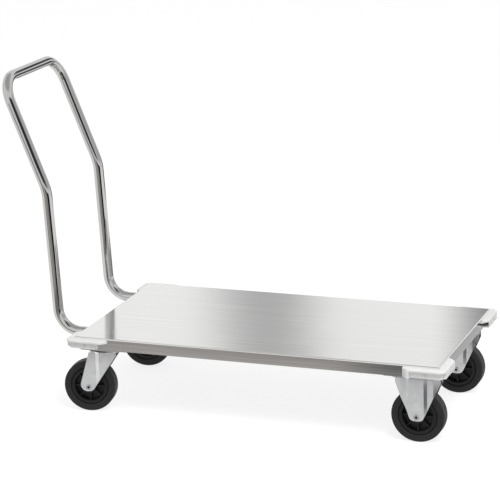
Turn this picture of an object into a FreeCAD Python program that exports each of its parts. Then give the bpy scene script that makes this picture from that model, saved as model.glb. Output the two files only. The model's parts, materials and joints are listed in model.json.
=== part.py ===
import FreeCAD, Part
import math
import os
import re
import Sketcher

# Flat platform trolley of folded stainless sheet: a bent tube push handle at the rear end,
# plastic bumpers on the deck's corners, two swivel castors at the rear and two fixed ones in front.
# Frame: +X forward, away from the handle, +Y to the left, +Z up.
# The origin is on the floor, under the middle of the outer box.

doc = FreeCAD.newDocument("platform_trolley")
sheet = doc.addObject("Spreadsheet::Sheet", "sizes")

# Driving sizes, in millimetres, and angles in degrees.
SIZES = (
    ("deck_length", 890, "deck, outside of end skirt to outside of end skirt"),
    ("deck_width", 460, "deck, outside of side skirt to outside of side skirt"),
    ("deck_height", 196, "top of deck above the floor"),
    ("skirt_height", 28, "folded edge of the deck"),
    ("sheet_thickness", 1.5, "deck sheet"),
    ("deck_corner", 4, "upright corner of the skirt, outside radius"),
    ("deck_bend", 3, "fold from deck to skirt, outside radius"),
    ("hem_depth", 5, "hem folded inwards along the skirt's foot"),
    ("hem_thickness", 3, "skirt and hem together"),
    ("fit_gap", 0.3, "gap round parts that pass through a hole"),
    ("bolster_width", 130, "cross channel that carries two castors"),
    ("bolster_length", 444, "cross channel, side to side"),
    ("bolster_sheet", 2.5, "cross channel sheet"),
    ("bolster_bend", 5, "cross channel fold, outside radius"),
    ("bolster_gap", 2, "cross channel to skirt hem"),
    ("stiffener_spacing", 160, "between the two long stiffeners"),
    ("stiffener_crown", 44, "stiffener, width of its closed side"),
    ("stiffener_mouth", 60, "stiffener, width between its lips"),
    ("stiffener_depth", 22, "stiffener, deck to closed side"),
    ("stiffener_lip", 15, "stiffener lip that lies against the deck"),
    ("stiffener_sheet", 1.5, "stiffener sheet"),
    ("stiffener_gap", 0.5, "stiffener end to cross channel"),
    ("tube_diameter", 25, "handle tube"),
    ("tube_wall", 2, "handle tube wall"),
    ("tube_gap", 0.5, "handle tube to deck sheet"),
    ("handle_spacing", 295, "between the handle's two leg axes"),
    ("handle_height", 800, "top of handle above the floor"),
    ("handle_insert", 150, "length of handle leg under the deck"),
    ("foot_reach", 75, "deck end to the corner at the handle's foot"),
    ("foot_bend", 55, "bend at the handle's foot, on the axis"),
    ("lower_lean", 2.5, "lean of the lower legs from upright"),
    ("kink_height", 525, "height of the bend halfway up the legs"),
    ("kink_bend", 120, "bend halfway up the legs, on the axis"),
    ("upper_lean", 21, "lean of the upper legs from upright"),
    ("top_bend", 58, "bend from leg to grip bar, on the axis"),
    ("plug_flange", 2, "end plug, flange thickness"),
    ("plug_depth", 12, "end plug, length inside the tube"),
    ("plug_gap", 0.1, "end plug to tube wall"),
    ("saddle_length", 22, "handle saddle, along the tube"),
    ("saddle_width", 18, "handle saddle, across the tube"),
    ("saddle_height", 5.5, "handle saddle, up its sides"),
    ("saddle_margin", 16, "handle bolt to the bolster's inner face"),
    ("bumper_drop", 3.5, "bumper top below the deck top"),
    ("nose_height", 8.5, "bumper nose"),
    ("nose_projection", 17, "bumper nose beyond the skirt"),
    ("nose_round", 3.5, "bumper nose, edge radius"),
    ("nose_corner", 17, "bumper nose, corner radius"),
    ("band_projection", 9.5, "bumper band beyond the skirt"),
    ("band_corner", 9, "bumper band, corner radius"),
    ("band_lift", 2.5, "bumper band above the skirt's foot"),
    ("arm_length", 84, "bumper arm along the skirt"),
    ("short_arm", 56, "bumper arm beside the handle legs"),
    ("arm_taper", 12, "run-out of the nose at an arm's end"),
    ("arm_tip", 5.5, "thickness left at an arm's end"),
    ("arm_round", 12, "radius where the nose starts to run out"),
    ("tip_setback", 22, "band ends this far before the nose's tip on the rear sides"),
    ("band_taper", 8, "run-out of the band at an arm's end"),
    ("band_tip", 5, "thickness left at the band's end"),
    ("bumper_wall", 2.2, "bumper wall"),
    ("rivet_inset", 30, "rivet from the deck's corner"),
    ("rivet_shank", 5, "rivet shank"),
    ("rivet_head", 9, "rivet head across"),
    ("rivet_head_height", 2, "rivet head height"),
    ("rivet_head_top", 6, "rivet head, flat top across"),
    ("rivet_tail", 7, "rivet's set end across"),
    ("rivet_tail_height", 2.5, "rivet's set end height"),
    ("rivet_boss", 12, "moulded boss round a rivet"),
    ("rivet_gap", 0.1, "gap round a rivet shank"),
    ("castor_height", 164, "floor to top of castor plate"),
    ("castor_side_inset", 56, "castor axis from the side skirt"),
    ("swivel_inset", 55, "swivel axis from the rear skirt"),
    ("fixed_inset", 63, "fixed castor's axle from the front skirt"),
    ("plate_length", 105, "castor plate, along the trolley"),
    ("plate_width", 85, "castor plate, across the trolley"),
    ("plate_thickness", 4, "castor plate"),
    ("plate_corner", 8, "castor plate, corner radius"),
    ("bolt_pitch_long", 80, "castor bolts, along the trolley"),
    ("bolt_pitch_cross", 60, "castor bolts, across the trolley"),
    ("bolt_diameter", 8, "castor screws and handle bolts"),
    ("bolt_hole_gap", 0.5, "gap round a bolt in its hole"),
    ("screw_seat", 0.5, "castor plate left above a sunk screw head"),
    ("bolt_flats", 13, "hexagon across flats"),
    ("bolt_head_height", 5.3, "hexagon bolt head"),
    ("nut_height", 6.5, "hexagon nut"),
    ("thread_gap", 0.05, "threaded bore round its bolt"),
    ("thread_show", 0.5, "bolt end beyond its nut"),
    ("wheel_diameter", 125, "castor wheel"),
    ("tyre_width", 34, "tyre, side to side"),
    ("tyre_shoulder", 5, "tyre shoulder radius"),
    ("tyre_foot", 48.5, "radius where the tyre's side reaches full width"),
    ("rim_diameter", 92, "rim seat that carries the tyre"),
    ("rim_width", 30, "rim, side to side"),
    ("rim_recess", 70, "hollow of the rim, across"),
    ("rim_bevel", 2, "bevel on the rim's edges"),
    ("rim_web", 5, "rim web"),
    ("rib_thickness", 3, "rim rib"),
    ("rib_count", 8, "ribs round the rim"),
    ("rib_width", 22, "rim rib, side to side"),
    ("hub_diameter", 32, "wheel hub"),
    ("hub_gap", 0.3, "hub to fork leg, each side"),
    ("seat_gap", 0.05, "gap in the wheel's own seats and running fits"),
    ("sleeve_diameter", 22, "bearing sleeve outside"),
    ("bush_diameter", 15, "axle bush outside"),
    ("axle_diameter", 10, "hollow axle rivet"),
    ("axle_bore", 6, "bore of the axle rivet"),
    ("axle_flange", 14, "rolled end of the axle rivet across"),
    ("axle_flange_height", 1.2, "rolled end of the axle rivet"),
    ("axle_gap", 0.1, "axle rivet to bush and fork"),
    ("fork_sheet", 3, "fork sheet"),
    ("fork_gap", 44, "between the fork legs at the axle"),
    ("fixed_foot", 27, "fixed fork, width of a leg's foot"),
    ("fixed_foot_drop", 9, "fixed fork, axle to the leg's foot"),
    ("fixed_foot_round", 12, "fixed fork, corner radius at the foot"),
    ("fixed_fork_width", 105, "fixed fork, width of a leg at the plate"),
    ("fixed_shoulder", 20, "fixed fork, straight edge below the plate"),
    ("fixed_face", 76, "fixed fork, flat face between the folded ears"),
    ("fixed_panel", 35, "fixed fork, raised panel"),
    ("fixed_flank", 7, "fixed fork, slope beside the raised panel"),
    ("panel_rise", 4.5, "fixed fork, height of the raised panel"),
    ("ear_fold", 8, "fixed fork, set-back of an ear's edge"),
    ("fold_round", 4, "fixed fork, outside radius of its folds"),
    ("swivel_trail", 40, "swivel axis to wheel axle"),
    ("swivel_rest_angle", 9, "swivel castors as they stand, from straight ahead"),
    ("swivel_foot_back", 24, "swivel fork, foot behind the axle"),
    ("swivel_foot_front", 9.5, "swivel fork, foot ahead of the axle"),
    ("swivel_foot_drop", 10, "swivel fork, axle to the leg's foot"),
    ("swivel_foot_round", 16, "swivel fork, corner radius at the foot"),
    ("fork_back", 36, "swivel fork, crown behind the swivel axis"),
    ("fork_front", 31, "swivel fork, crown ahead of the swivel axis"),
    ("front_drop", 6, "swivel fork, straight front edge below the crown"),
    ("fork_fold", 21, "swivel fork, fold line behind the swivel axis"),
    ("fork_flare", 4.5, "swivel fork, set-out of a leg's front part"),
    ("flare_run", 13, "swivel fork, slope out to a leg's front part"),
    ("flare_round", 8, "swivel fork, inside radius of its folds"),
    ("crown_sheet", 4, "swivel fork crown"),
    ("crown_corner", 8, "swivel fork crown, corner radius"),
    ("crown_race", 66, "round seat of the swivel bearing"),
    ("bearing_gap", 6.6, "castor plate to fork crown"),
    ("ball_diameter", 6, "swivel bearing ball"),
    ("ball_circle", 50, "circle of the balls' centres"),
    ("ball_count", 12, "balls in a swivel bearing"),
    ("ball_lift", 0.05, "ball above the crown"),
    ("seal_outside", 72, "dust ring outside"),
    ("seal_wall", 2.5, "dust ring wall"),
    ("seal_gap", 0.6, "dust ring above the crown"),
    ("king_pin", 12, "king pin"),
    ("king_pin_head", 20, "king pin head across"),
    ("king_pin_gap", 0.075, "king pin to crown"),
    ("king_nut_flats", 19, "king pin nut across flats"),
    ("king_nut_height", 7, "king pin nut"),
    ("king_washer", 26, "king pin washer across"),
    ("king_washer_thickness", 2, "king pin washer"),
    ("king_end_play", 0.3, "crown to king pin washer"),
    ("king_pin_end", 2, "king pin beyond its nut"),
    ("cut_margin", 5, "how far a cutting outline stands clear of the piece"),
)
for row, (alias, size, meaning) in enumerate(SIZES, 1):
    sheet.set(f"A{row}", meaning)
    sheet.set(f"B{row}", str(size))
    sheet.setAlias(f"B{row}", alias)
doc.recompute()
ALIASES = {entry[0] for entry in SIZES}

# Heights above the floor and places along the trolley, as texts of the sizes above.
AXLE = "(wheel_diameter / 2)"
DECK_UNDER = "(deck_height - sheet_thickness)"
SKIRT_FOOT = "(deck_height - skirt_height)"
TUBE_AXIS = "(deck_height - sheet_thickness - tube_gap - tube_diameter / 2)"
WEB_TOP = "(castor_height + bolster_sheet)"
PLATE_UNDER = "(castor_height - plate_thickness)"
CROWN_TOP = "(castor_height - plate_thickness - bearing_gap)"
CROWN_UNDER = "(castor_height - plate_thickness - bearing_gap - crown_sheet)"
FIXED_FOOT = "(wheel_diameter / 2 - fixed_foot_drop)"
SWIVEL_FOOT = "(wheel_diameter / 2 - swivel_foot_drop)"
SCREW_SINK = "(plate_thickness - screw_seat)"
NOSE_TOP = "(deck_height - bumper_drop)"
NOSE_UNDER = "(deck_height - bumper_drop - nose_height)"
BAND_FOOT = "(deck_height - skirt_height + band_lift)"
BAND_MIDDLE = f"(({NOSE_UNDER} + {BAND_FOOT}) / 2)"
GRIP_AXIS = "(handle_height - tube_diameter / 2)"
LOWER_RUN = f"((kink_height - {TUBE_AXIS}) * tan(lower_lean * 1 deg))"
UPPER_RUN = f"(({GRIP_AXIS} - kink_height) * tan(upper_lean * 1 deg))"
HANDLE_BACK = f"(deck_length / 2 + foot_reach + {LOWER_RUN} + {UPPER_RUN} + tube_diameter / 2)"
DECK_X = f"(({HANDLE_BACK} - deck_length / 2 - nose_projection) / 2)"
BOLSTER_X = "(deck_length / 2 - hem_thickness - bolster_gap - bolster_width / 2)"
SADDLE_X = f"(-{BOLSTER_X} + bolster_width / 2 - bolster_sheet - saddle_margin)"
CASTOR_Y = "(deck_width / 2 - castor_side_inset)"
SWIVEL_X = f"({DECK_X} - deck_length / 2 + swivel_inset)"
FIXED_X = f"({DECK_X} + deck_length / 2 - fixed_inset)"
CHEEK = "(arm_taper + arm_round / 2)"
SIDES = (("right", "-"), ("left", "+"))

parts = []


def number(text):
    """The value of a text of sizes."""
    found = sheet.evalExpression(text)
    return getattr(found, "Value", found)


def bound(text):
    """The text with each size's name pointing at its cell in the sheet."""
    return re.sub(r"[a-z][a-z_]+", lambda word: f"sizes.{word[0]}" if word[0] in ALIASES else word[0], text)


def place(piece, x, y, z, turn=None):
    """Put a piece at x, y, z, turned about the vertical."""
    if turn is not None:
        piece.Placement = FreeCAD.Placement(FreeCAD.Vector(), FreeCAD.Rotation(FreeCAD.Vector(0, 0, 1), 1))
        piece.setExpression("Placement.Rotation.Angle", bound(f"({turn}) * 1 deg"))
    for axis, text in zip("xyz", (x, y, z)):
        piece.setExpression(f"Placement.Base.{axis}", bound(text))


def new_body(label, x=DECK_X, y="0", z="0", turn=None):
    """An empty body that becomes the node of that name."""
    body = doc.addObject("PartDesign::Body", label)
    body.Label = label
    place(body, x, y, z, turn)
    parts.append(body)
    return body


def new_sketch(body, plane, level="0"):
    """A sketch on one of the body's own planes, moved along that plane's normal."""
    sketch = body.newObject("Sketcher::SketchObject", f"{body.Name}_sketch")
    support = next(item for item in body.Origin.OriginFeatures if item.Role == plane)
    sketch.AttachmentSupport = [(support, "")]
    sketch.MapMode = "FlatFace"
    sketch.setExpression("AttachmentOffset.Base.z", bound(level))
    return sketch


def fix(sketch, geometry, point, x, y):
    """Tie a point of the sketch to x and y."""
    for kind, text in (("DistanceX", x), ("DistanceY", y)):
        tie = sketch.addConstraint(Sketcher.Constraint(kind, -1, 1, geometry, point, number(text)))
        sketch.setExpression(f"Constraints[{tie}]", bound(text))


def add_circle(sketch, x, y, diameter):
    """A circle in the sketch."""
    centre = FreeCAD.Vector(number(x), number(y), 0)
    circle = sketch.addGeometry(Part.Circle(centre, FreeCAD.Vector(0, 0, 1), number(diameter) / 2))
    fix(sketch, circle, 3, x, y)
    tie = sketch.addConstraint(Sketcher.Constraint("Diameter", circle, number(diameter)))
    sketch.setExpression(f"Constraints[{tie}]", bound(diameter))


def add_outline(sketch, corners):
    """A closed outline of straight runs. A corner is (x, y), or (x, y, radius) where it is rounded."""
    count = len(corners)
    spots = [FreeCAD.Vector(number(corner[0]), number(corner[1]), 0) for corner in corners]
    arrive = list(spots)
    leave = list(spots)
    arcs = {}
    for k, corner in enumerate(corners):
        if len(corner) == 2:
            continue
        back = (spots[k - 1] - spots[k]).normalize()
        ahead = (spots[(k + 1) % count] - spots[k]).normalize()
        half = back.getAngle(ahead) / 2
        radius = number(corner[2])
        arrive[k] = spots[k] + back * (radius / math.tan(half))
        leave[k] = spots[k] + ahead * (radius / math.tan(half))
        centre = spots[k] + (back + ahead).normalize() * (radius / math.sin(half))
        turns_left = back.cross(ahead).z < 0
        first, last = (arrive[k], leave[k]) if turns_left else (leave[k], arrive[k])
        angles = [math.atan2(spot.y - centre.y, spot.x - centre.x) for spot in (first, last)]
        circle = Part.Circle(centre, FreeCAD.Vector(0, 0, 1), radius)
        arcs[k] = (Part.ArcOfCircle(circle, *angles), turns_left)
    runs = [sketch.addGeometry(Part.LineSegment(leave[k], arrive[(k + 1) % count])) for k in range(count)]
    for k, corner in enumerate(corners):
        before, after = runs[k - 1], runs[k]
        if k not in arcs:
            sketch.addConstraint(Sketcher.Constraint("Coincident", before, 2, after, 1))
            fix(sketch, after, 1, corner[0], corner[1])
            continue
        shape, turns_left = arcs[k]
        arc = sketch.addGeometry(shape)
        spot = sketch.addGeometry(Part.Point(spots[k]), True)
        fix(sketch, spot, 1, corner[0], corner[1])
        sketch.addConstraint(Sketcher.Constraint("PointOnObject", spot, 1, before))
        sketch.addConstraint(Sketcher.Constraint("PointOnObject", spot, 1, after))
        near_end, far_end = (1, 2) if turns_left else (2, 1)
        sketch.addConstraint(Sketcher.Constraint("Tangent", before, 2, arc, near_end))
        sketch.addConstraint(Sketcher.Constraint("Tangent", after, 1, arc, far_end))
        tie = sketch.addConstraint(Sketcher.Constraint("Radius", arc, number(corner[2])))
        sketch.setExpression(f"Constraints[{tie}]", bound(corner[2]))


def add_rectangle(sketch, x, y, width, height, radius=None):
    """A rectangle about x, y, with rounded corners if a radius is given."""
    round_off = () if radius is None else (radius,)
    spots = (("-", "-"), ("+", "-"), ("+", "+"), ("-", "+"))
    add_outline(sketch, [(f"{x} {a} ({width}) / 2", f"{y} {b} ({height}) / 2") + round_off for a, b in spots])


def add_hexagon(sketch, x, y, flats):
    """A hexagon about x, y with two flats square to the sketch's second axis."""
    tip = f"({flats}) / sqrt(3)"
    add_outline(sketch, [
        (f"{x} + {tip}", y),
        (f"{x} + {tip} / 2", f"{y} + ({flats}) / 2"),
        (f"{x} - {tip} / 2", f"{y} + ({flats}) / 2"),
        (f"{x} - {tip}", y),
        (f"{x} - {tip} / 2", f"{y} - ({flats}) / 2"),
        (f"{x} + {tip} / 2", f"{y} - ({flats}) / 2"),
    ])


def pad(sketch, length, both=False, back=False):
    """Raise the sketch along its normal, or against it, or half each way."""
    body = sketch.getParentGeoFeatureGroup()
    feature = body.newObject("PartDesign::Pad", f"{sketch.Name}_pad")
    feature.Profile = sketch
    feature.setExpression("Length", bound(length))
    feature.SideType = "Symmetric" if both else "One side"
    feature.Reversed = back
    doc.recompute()
    return feature


def pocket(sketch, length=None, back=False):
    """Cut the sketch away: right through both ways, or to a depth against its normal, or along it."""
    body = sketch.getParentGeoFeatureGroup()
    whole = body.Shape.Volume
    feature = body.newObject("PartDesign::Pocket", f"{sketch.Name}_pocket")
    feature.Profile = sketch
    if length is None:
        feature.Type = "ThroughAll"
        feature.SideType = "Symmetric"
    else:
        feature.setExpression("Length", bound(length))
    feature.Reversed = back
    doc.recompute()
    if body.Shape.Volume > whole - 0.001:
        raise RuntimeError(f"{feature.Label} cuts nothing")
    return feature


def revolve(sketch, axis="H_Axis", kind="Revolution"):
    """Turn the sketch round one of its own axes, to add a solid or to groove one."""
    body = sketch.getParentGeoFeatureGroup()
    feature = body.newObject(f"PartDesign::{kind}", f"{sketch.Name}_{kind.lower()}")
    feature.Profile = sketch
    feature.ReferenceAxis = (sketch, [axis])
    feature.Angle = 360
    doc.recompute()
    return feature


def spin(feature, count):
    """Repeat a feature round the body's Y axis."""
    body = feature.getParentGeoFeatureGroup()
    pattern = body.newObject("PartDesign::PolarPattern", f"{feature.Name}_pattern")
    pattern.Originals = [feature]
    axis = next(item for item in body.Origin.OriginFeatures if item.Role == "Y_Axis")
    pattern.Axis = (axis, [""])
    pattern.Angle = 360
    pattern.setExpression("Occurrences", bound(count))
    body.Tip = pattern
    doc.recompute()
    return pattern


def fillet(body, radius, chosen):
    """Round the edges of the body for which chosen(edge) is true."""
    doc.recompute()
    base = body.Tip
    names = [f"Edge{k}" for k, edge in enumerate(base.Shape.Edges, 1) if chosen(edge)]
    feature = body.newObject("PartDesign::Fillet", f"{body.Name}_fillet")
    feature.Base = (base, names)
    feature.setExpression("Radius", bound(radius))
    doc.recompute()
    return feature


def chamfer(body, size, chosen):
    """Bevel the edges of the body for which chosen(edge) is true."""
    base = body.Tip
    names = [f"Edge{k}" for k, edge in enumerate(base.Shape.Edges, 1) if chosen(edge)]
    feature = body.newObject("PartDesign::Chamfer", f"{body.Name}_chamfer")
    feature.Base = (base, names)
    feature.setExpression("Size", bound(size))
    doc.recompute()
    return feature


def level_edge(edge, height):
    """True where the whole edge lies at that height."""
    box = edge.BoundBox
    return abs(box.ZMin - height) < 0.001 and abs(box.ZMax - height) < 0.001


def primitive(kind, x, y, z, turn, **texts):
    """A solid primitive whose sizes are bound to the sheet."""
    solid = doc.addObject(f"Part::{kind}", kind.lower())
    solid.Placement = FreeCAD.Placement(FreeCAD.Vector(), turn)
    for axis, text in zip("xyz", (x, y, z)):
        solid.setExpression(f"Placement.Base.{axis}", bound(text))
    for name, text in texts.items():
        solid.setExpression(name, bound(text))
    return solid


def gather(label, solids):
    """One node that holds several separate solids."""
    group = doc.addObject("Part::Compound", label)
    group.Label = label
    group.Links = solids
    parts.append(group)


def join(solids):
    """One solid fused from several."""
    whole = doc.addObject("Part::MultiFuse", "joined")
    whole.Shapes = solids
    return whole


UPRIGHT = FreeCAD.Rotation()
ALONG_X = FreeCAD.Rotation(FreeCAD.Vector(0, 1, 0), 90)


# The deck is one sheet folded down on four sides, with a hem along the skirt's foot.
def make_deck():
    deck = new_body("deck_pan")
    blank = new_sketch(deck, "XY_Plane", SKIRT_FOOT)
    add_rectangle(blank, "0", "0", "deck_length", "deck_width", "deck_corner")
    pad(blank, "skirt_height")
    top = number("deck_height")
    fillet(deck, "deck_bend", lambda edge: level_edge(edge, top))
    hollow = new_sketch(deck, "XY_Plane", SKIRT_FOOT)
    inside = ("deck_length - 2 * sheet_thickness", "deck_width - 2 * sheet_thickness")
    add_rectangle(hollow, "0", "0", *inside, "deck_corner - sheet_thickness")
    pocket(hollow, "skirt_height - sheet_thickness", back=True)
    under = number(DECK_UNDER)
    fillet(deck, "deck_bend - sheet_thickness", lambda edge: level_edge(edge, under))
    hem = new_sketch(deck, "XY_Plane", SKIRT_FOOT)
    add_rectangle(hem, "0", "0", *inside, "deck_corner - sheet_thickness")
    clear = ("deck_length - 2 * hem_thickness", "deck_width - 2 * hem_thickness")
    add_rectangle(hem, "0", "0", *clear, "deck_corner - sheet_thickness")
    pad(hem, "hem_depth")
    legs = new_sketch(deck, "YZ_Plane", "-deck_length / 2 - cut_margin")
    for _, side in SIDES:
        add_circle(legs, f"{side} handle_spacing / 2", TUBE_AXIS, "tube_diameter + 2 * fit_gap")
    pocket(legs, "cut_margin * 2", back=True)
    across = new_sketch(deck, "XZ_Plane")
    along = new_sketch(deck, "YZ_Plane")
    for _, side in SIDES:
        hole = "rivet_shank + 2 * rivet_gap"
        add_circle(across, f"{side} (deck_length / 2 - rivet_inset)", BAND_MIDDLE, hole)
        add_circle(along, f"{side} (deck_width / 2 - rivet_inset)", BAND_MIDDLE, hole)
    pocket(across)
    pocket(along)


def screw_spots(castor_x):
    """The places of the eight screws of a right and a left castor."""
    return [
        (f"{castor_x} {a} bolt_pitch_long / 2", f"({side} {CASTOR_Y} {b} bolt_pitch_cross / 2)")
        for _, side in SIDES for a in "-+" for b in "-+"
    ]


# A bolster is a channel welded under each end of the deck, open side up. Two castors screw to its web.
def make_bolster(label, end, castor_x, holds_handle):
    bolster = new_body(label, f"{DECK_X} {end} {BOLSTER_X}")
    section = new_sketch(bolster, "XZ_Plane")
    half = "bolster_width / 2"
    inner = "(bolster_width / 2 - bolster_sheet)"
    fold = "bolster_bend - bolster_sheet"
    add_outline(section, [
        (f"-{half}", DECK_UNDER),
        (f"-{half}", "castor_height", "bolster_bend"),
        (half, "castor_height", "bolster_bend"),
        (half, DECK_UNDER),
        (inner, DECK_UNDER),
        (inner, WEB_TOP, fold),
        (f"-{inner}", WEB_TOP, fold),
        (f"-{inner}", DECK_UNDER),
    ])
    pad(section, "bolster_length", both=True)
    threads = new_sketch(bolster, "XY_Plane", "castor_height")
    for x, y in screw_spots(f"{castor_x} - ({DECK_X} {end} {BOLSTER_X})"):
        add_circle(threads, x, y, "bolt_diameter + 2 * thread_gap")
    pocket(threads)
    if not holds_handle:
        return
    legs = new_sketch(bolster, "YZ_Plane")
    bolts = new_sketch(bolster, "XY_Plane", "castor_height")
    for _, side in SIDES:
        add_circle(legs, f"{side} handle_spacing / 2", TUBE_AXIS, "tube_diameter + 2 * fit_gap")
        hole = "bolt_diameter + 2 * bolt_hole_gap"
        add_circle(bolts, f"{SADDLE_X} + {BOLSTER_X}", f"{side} handle_spacing / 2", hole)
    pocket(legs)
    pocket(bolts)


# A stiffener is a hat section that runs between the bolsters, with its lips against the deck.
def make_stiffener(label, side):
    stiffener = new_body(label, y=f"{side} stiffener_spacing / 2")
    section = new_sketch(stiffener, "YZ_Plane")
    crown, mouth, lip = "stiffener_crown / 2", "stiffener_mouth / 2", "(stiffener_mouth / 2 + stiffener_lip)"
    foot = f"({DECK_UNDER} - stiffener_depth)"
    lip_under = f"({DECK_UNDER} - stiffener_sheet)"
    add_outline(section, [
        (f"-{lip}", DECK_UNDER),
        (f"-{lip}", lip_under),
        (f"-{mouth}", lip_under),
        (f"-{crown}", foot),
        (crown, foot),
        (mouth, lip_under),
        (lip, lip_under),
        (lip, DECK_UNDER),
        (f"{mouth} - stiffener_sheet", DECK_UNDER),
        (f"{crown} - stiffener_sheet", f"{foot} + stiffener_sheet"),
        (f"-({crown} - stiffener_sheet)", f"{foot} + stiffener_sheet"),
        (f"-({mouth} - stiffener_sheet)", DECK_UNDER),
    ])
    pad(section, f"2 * ({BOLSTER_X} - bolster_width / 2 - stiffener_gap)", both=True)


def bent_wire(corners, radii):
    """Straight runs through the corners, with a tangent arc of its own radius at each inner corner."""
    edges = []
    start = corners[0]
    for before, here, after, radius in zip(corners, corners[1:], corners[2:], radii):
        back = (before - here).normalize()
        ahead = (after - here).normalize()
        half = back.getAngle(ahead) / 2
        reach = radius / math.tan(half)
        middle = (back + ahead).normalize() * (radius / math.sin(half) - radius)
        edges.append(Part.LineSegment(start, here + back * reach).toShape())
        edges.append(Part.Arc(here + back * reach, here + middle, here + ahead * reach).toShape())
        start = here + ahead * reach
    edges.append(Part.LineSegment(start, corners[-1]).toShape())
    return Part.Wire(edges)


# The handle is one tube, bent in two planes. Both legs run in under the deck and through the bolster.
def make_handle():
    foot = f"({DECK_X} - deck_length / 2 - foot_reach)"
    tip = number(f"{DECK_X} - deck_length / 2 + handle_insert")
    foot_x = number(foot)
    kink_x = number(f"{foot} - {LOWER_RUN}")
    grip_x = number(f"{foot} - {LOWER_RUN} - {UPPER_RUN}")
    side = number("handle_spacing / 2")
    axis_z, kink_z, grip_z = number(TUBE_AXIS), number("kink_height"), number(GRIP_AXIS)
    leg = [(tip, axis_z), (foot_x, axis_z), (kink_x, kink_z), (grip_x, grip_z)]
    right = [FreeCAD.Vector(x, -side, z) for x, z in leg]
    left = [FreeCAD.Vector(x, side, z) for x, z in reversed(leg)]
    bends = [number(bend) for bend in ("foot_bend", "kink_bend", "top_bend")]
    wire = bent_wire(right + left, bends + bends[::-1])
    backward = FreeCAD.Vector(-1, 0, 0)
    tube = None
    for radius in (number("tube_diameter / 2"), number("tube_diameter / 2 - tube_wall")):
        ring = Part.Wire([Part.Circle(right[0], backward, radius).toShape()])
        rod = wire.makePipeShell([ring], True, False)
        tube = rod if tube is None else tube.cut(rod)
    bolt_radius = number("bolt_diameter / 2 + bolt_hole_gap")
    for turn in (-1, 1):
        spot = FreeCAD.Vector(number(f"{DECK_X} + {SADDLE_X}"), turn * side, number(WEB_TOP))
        tube = tube.cut(Part.makeCylinder(bolt_radius, axis_z - spot.z, spot))
    handle = doc.addObject("Part::Feature", "push_handle")
    handle.Label = "push_handle"
    handle.Shape = tube.Solids[0]
    parts.append(handle)


# Each leg is closed by a plastic plug and held by a bolt that pulls it down on a saddle.
def make_handle_fixings():
    plugs, saddles = [], []
    bolts = new_body("handle_bolts")
    nuts = new_body("handle_nuts")
    nut_foot = f"({TUBE_AXIS} - sqrt((tube_diameter / 2 - tube_wall)^2 - (bolt_flats / 2)^2) + thread_gap)"
    heads = new_sketch(bolts, "XY_Plane", "castor_height - bolt_head_height")
    shanks = new_sketch(bolts, "XY_Plane", "castor_height")
    squares = new_sketch(nuts, "XY_Plane", nut_foot)
    for _, side in SIDES:
        leg_y = f"({side} handle_spacing / 2)"
        tip = f"({DECK_X} - deck_length / 2 + handle_insert)"
        bore = "(tube_diameter / 2 - tube_wall - plug_gap)"
        stem = primitive("Cylinder", f"{tip} - plug_depth", leg_y, TUBE_AXIS, ALONG_X,
                         Radius=bore, Height="plug_depth + plug_flange")
        flange = primitive("Cylinder", tip, leg_y, TUBE_AXIS, ALONG_X,
                           Radius="tube_diameter / 2", Height="plug_flange")
        plugs.append(join([stem, flange]))
        saddle_x = f"({DECK_X} + {SADDLE_X})"
        block = primitive("Box", f"{saddle_x} - saddle_length / 2", f"{leg_y} - saddle_width / 2", WEB_TOP,
                          UPRIGHT, Length="saddle_length", Width="saddle_width", Height="saddle_height")
        hollow = primitive("Cylinder", f"{saddle_x} - saddle_length", leg_y, TUBE_AXIS, ALONG_X,
                           Radius="tube_diameter / 2 + fit_gap", Height="saddle_length * 2")
        hole = primitive("Cylinder", saddle_x, leg_y, "castor_height", UPRIGHT,
                         Radius="bolt_diameter / 2 + bolt_hole_gap", Height="skirt_height")
        saddle = doc.addObject("Part::Cut", "saddle")
        saddle.Base = block
        saddle.Tool = join([hollow, hole])
        saddles.append(saddle)
        add_hexagon(heads, SADDLE_X, leg_y, "bolt_flats")
        add_circle(shanks, SADDLE_X, leg_y, "bolt_diameter")
        add_rectangle(squares, SADDLE_X, leg_y, "bolt_flats", "bolt_flats")
        add_circle(squares, SADDLE_X, leg_y, "bolt_diameter + 2 * thread_gap")
    pad(heads, "bolt_head_height")
    pad(shanks, f"{nut_foot} + nut_height + thread_show - castor_height")
    pad(squares, "nut_height")
    gather("handle_end_plugs", plugs)
    gather("handle_saddles", saddles)


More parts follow.
